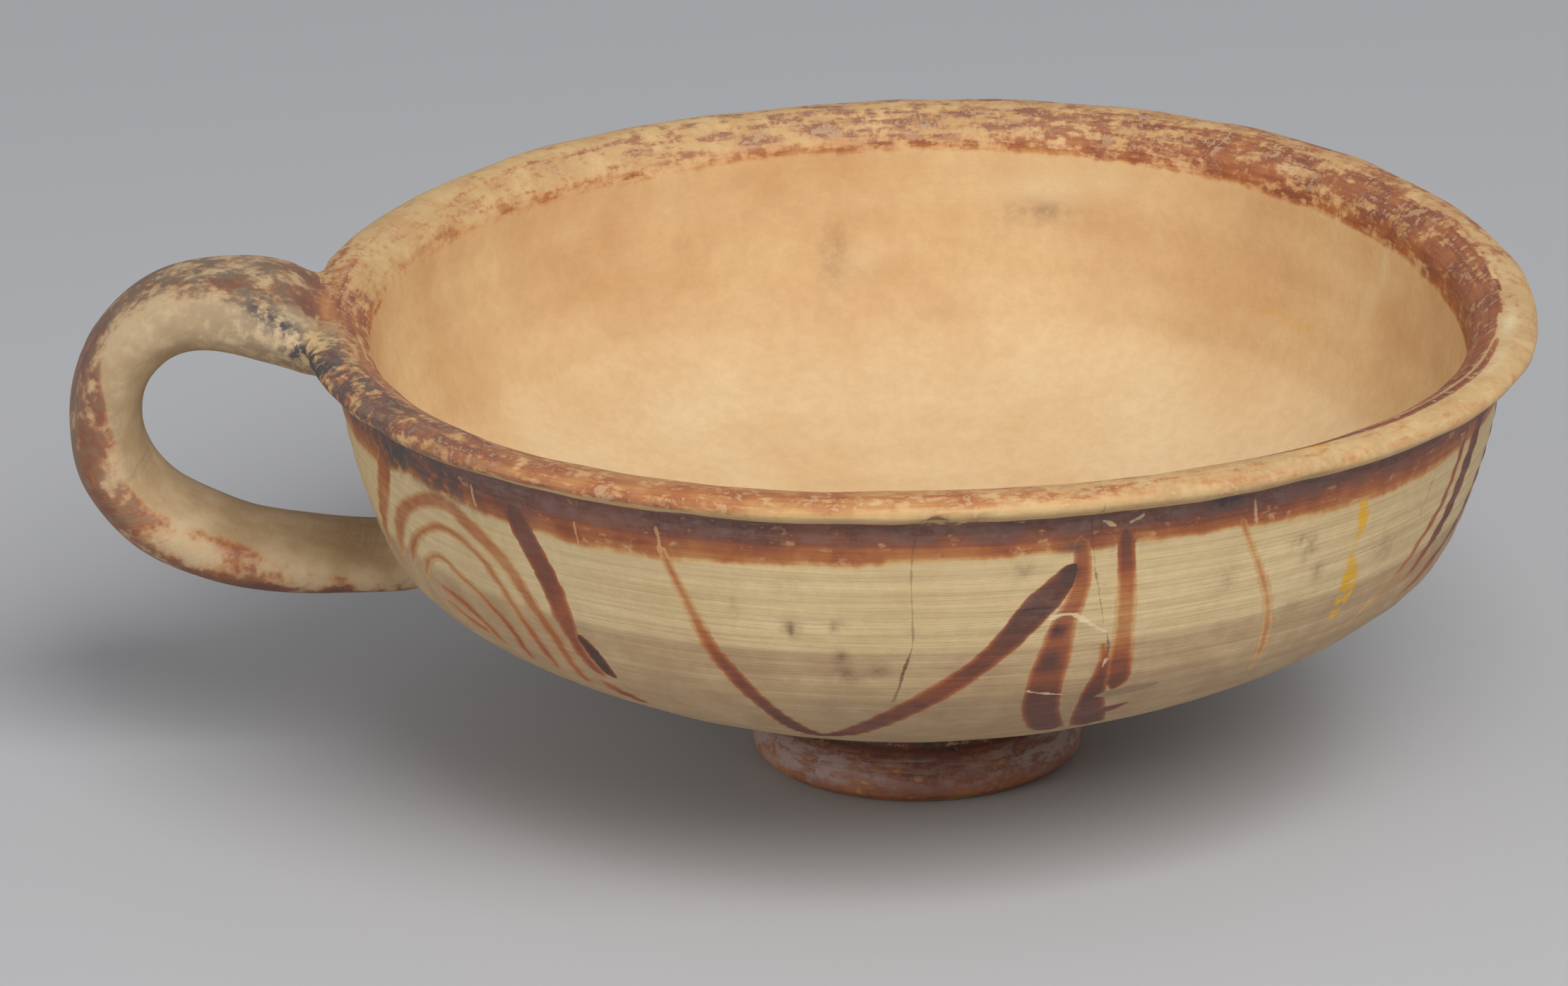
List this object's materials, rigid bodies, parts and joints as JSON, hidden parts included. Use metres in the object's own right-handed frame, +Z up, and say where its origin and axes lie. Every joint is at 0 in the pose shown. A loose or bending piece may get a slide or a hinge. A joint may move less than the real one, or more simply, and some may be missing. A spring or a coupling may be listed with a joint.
{
  "type": "pottery cup",
  "caption": "Shallow hand-thrown clay drinking cup with a rolled lip, a small disc foot and a strap handle looping from lip to belly.",
  "frame": {"origin": "centre of the foot's flat underside, on the bowl's turning axis", "axes": "+Z up along the turning axis, -X towards the handle, +X towards the far side of the mouth"},
  "size_m": [0.1502, 0.128, 0.0538],
  "materials": {
    "fired_clay": "smoothed buff slip with worn red-brown to black painted ornament"
  },
  "bodies": {
    "root": {"cup": "fired_clay"}
  },
  "joints": []
}
